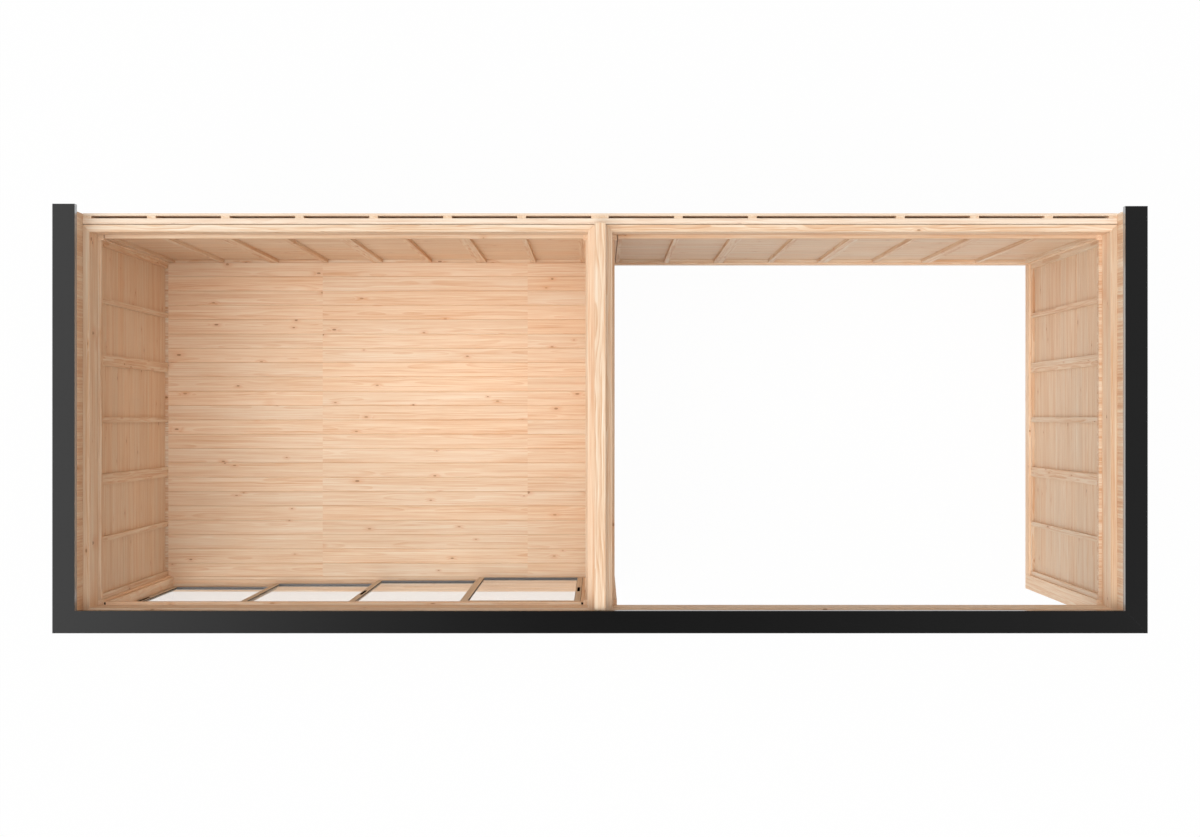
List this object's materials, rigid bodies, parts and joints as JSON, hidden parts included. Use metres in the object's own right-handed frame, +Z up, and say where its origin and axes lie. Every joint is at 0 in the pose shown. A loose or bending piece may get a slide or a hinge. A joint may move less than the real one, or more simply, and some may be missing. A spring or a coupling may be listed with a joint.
{
  "type": "timber garden pavilion with canopy bay",
  "caption": "Flat-roofed timber garden pavilion, roof deck off: a floored room with sliding glass doors beside an open canopy bay.",
  "frame": {"origin": "on the ground, in the middle of the outline box", "axes": "+Z up, +X to the right seen from the front, +Y to the back; the doors and the open bay face -Y"},
  "size_m": [8.844, 3.4684, 2.5],
  "materials": {
    "planed_pine": "planed pale softwood, long straight grain with a few small knots",
    "wall_boards": "planed pale softwood boards laid level, on a light frame",
    "floor_boards": "planed pale softwood floor boards with narrow dark seams",
    "door_wood": "planed softwood with a thin brown stain",
    "black_trim": "satin black powder coat on folded aluminium, bare grey on the inner upstand",
    "rail_metal": "grey anodised aluminium",
    "clear_glass": "clear toughened glass",
    "black_pull": "matt black"
  },
  "bodies": {
    "building": {"post_back_left": "planed_pine", "post_back_right": "planed_pine", "post_front_left": "planed_pine", "post_front_right": "planed_pine", "posts_back_middle": "planed_pine", "posts_front_middle": "planed_pine", "sill_back": "planed_pine", "sill_left": "planed_pine", "sill_right": "planed_pine", "sill_middle": "planed_pine", "sill_front": "planed_pine", "floor_deck": "floor_boards", "back_wall_room": "wall_boards", "back_wall_canopy": "wall_boards", "left_wall": "wall_boards", "right_wall": "wall_boards", "partition_room": "wall_boards", "partition_canopy": "wall_boards", "ring_beam_left": "planed_pine", "ring_beam_right": "planed_pine", "ring_beam_back": "planed_pine", "ring_beam_front": "planed_pine", "ring_beam_middle": "planed_pine", "centre_beam": "planed_pine", "outer_beam_back": "planed_pine", "rim_boards": "planed_pine", "fascia_back": "planed_pine", "spacer_blocks": "planed_pine", "soffit_boards": "planed_pine", "trim_left": "black_trim", "trim_right": "black_trim", "trim_front": "black_trim", "door_head": "door_wood", "door_jambs": "door_wood", "door_track": "door_wood"},
    "leaf_1": {"leaf_1_frame": "door_wood", "leaf_1_rail": "rail_metal", "leaf_1_glass": "clear_glass", "leaf_1_pull": "black_pull"},
    "leaf_2": {"leaf_2_frame": "door_wood", "leaf_2_rail": "rail_metal", "leaf_2_glass": "clear_glass"},
    "leaf_3": {"leaf_3_frame": "door_wood", "leaf_3_rail": "rail_metal", "leaf_3_glass": "clear_glass", "leaf_3_pull": "black_pull"},
    "leaf_4": {"leaf_4_frame": "door_wood", "leaf_4_rail": "rail_metal", "leaf_4_glass": "clear_glass", "leaf_4_pull": "black_pull"}
  },
  "joints": [
    {"name": "leaf_1_slide", "type": "slide", "parent": "building", "child": "leaf_1", "axis": [1, 0, 0], "range_m": [0, 2.934]},
    {"name": "leaf_2_slide", "type": "slide", "parent": "building", "child": "leaf_2", "axis": [1, 0, 0], "range_m": [-0.973, 1.956]},
    {"name": "leaf_3_slide", "type": "slide", "parent": "building", "child": "leaf_3", "axis": [1, 0, 0], "range_m": [-1.956, 0.973]},
    {"name": "leaf_4_slide", "type": "slide", "parent": "building", "child": "leaf_4", "axis": [1, 0, 0], "range_m": [-2.934, 0]}
  ]
}
